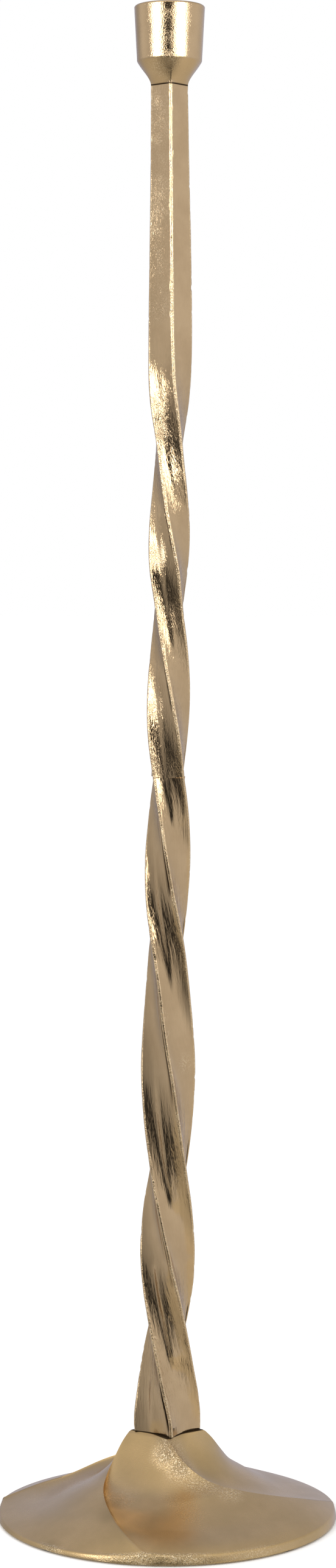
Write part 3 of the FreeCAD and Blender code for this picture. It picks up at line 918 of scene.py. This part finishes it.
# the room is cooler behind the stand, above it and level with it
past_rear = calc(tree, "FRACT", calc(tree, "ADD", bearing, 0.47))
cool = stretch(tree, calc(tree, "ABSOLUTE", calc(tree, "SUBTRACT", past_rear, 0.5)), 0.2, 0.09)
top_tint = blend_colour(tree, cool, (1.04, 1.0, 0.90, 1), (0.99, 1.0, 1.14, 1))
top = blend_colour(tree, 1.0, around_room(top_light), top_tint, "MULTIPLY")
top = blend_colour(tree, stretch(tree, elevation, 60, 80), top, (0.86, 0.84, 0.80, 1))
below = blend_colour(tree, stretch(tree, elevation, -40, -33), around_room(under_light),
                     around_room(below_light))
below = blend_colour(tree, 1.0, below, (1.03, 0.98, 0.85, 1), "MULTIPLY")
low_tint = blend_colour(tree, stretch(tree, calc(tree, "ABSOLUTE", calc(
    tree, "SUBTRACT", bearing, 0.5)), 0.35, 0.46), (1.0, 1.0, 1.02, 1), (0.98, 1.0, 1.22, 1))
low = blend_colour(tree, 1.0, around_room(low_light), low_tint, "MULTIPLY")
light = blend_colour(tree, stretch(tree, elevation, 14, 32), low, top)
light = blend_colour(tree, stretch(tree, elevation, -25, -18), below, light)
rays = add(tree, "ShaderNodeLightPath").outputs
room_light = add(tree, "ShaderNodeBackground", {0: light, 1: 1.0})
white = add(tree, "ShaderNodeBackground", {0: (1, 1, 1, 1), 1: calc(
    tree, "MULTIPLY_ADD", rays["Is Diffuse Ray"], 0.3, 1.0)})
plain = calc(tree, "MAXIMUM", rays["Is Camera Ray"], rays["Is Diffuse Ray"])
mixed = add(tree, "ShaderNodeMixShader", {0: plain, 1: room_light.outputs[0], 2: white.outputs[0]})
add(tree, "ShaderNodeOutputWorld", {0: mixed.outputs[0]})
bpy.context.scene.view_settings.view_transform = "Standard"


def soft_box(name, low, high, radiance, spread):
    """Upright lamp behind a grid, between two bearings counted from the camera to the right."""
    middle, half = math.radians((low + high) / 2), math.radians((high - low) / 2)
    distance, bottom, top = 1.2, 0.59, 1.3
    lamp = bpy.data.lights.new(name, "AREA")
    lamp.shape = "RECTANGLE"
    lamp.size = 2 * distance * math.tan(half)
    lamp.size_y = top - bottom
    lamp.spread = math.radians(spread)
    focus = math.tan(lamp.spread / 2) / (math.tan(lamp.spread / 2) - lamp.spread / 2)
    lamp.energy = radiance * math.pi * lamp.size * lamp.size_y / focus
    stand = bpy.data.objects.new(name, lamp)
    stand.location = (distance * math.sin(middle), -distance * math.cos(middle),
                      (bottom + top) / 2)
    stand.rotation_euler = (math.pi / 2, 0, middle)
    stand.visible_camera = False
    bpy.context.collection.objects.link(stand)


soft_box("left_soft_box", -58, -28, 9.0, 115)
soft_box("right_soft_box", 18, 58, 9.0, 64)
soft_box("left_wall", -118, -64, 0.22, 120)
soft_box("right_wall", 60, 118, 0.10, 120)

# The camera is about 1.6 m away, a little above half the height of the stand,
# and looks slightly down.
lens = bpy.data.cameras.new("camera")
lens.sensor_width = 36
lens.lens = 73.58
camera = bpy.data.objects.new("camera", lens)
camera.location = (-0.3 * mm, -1.587, 0.470)
camera.rotation_euler = (math.radians(90 - 3.64), math.radians(-0.10), 0)
bpy.context.collection.objects.link(camera)
bpy.context.scene.camera = camera
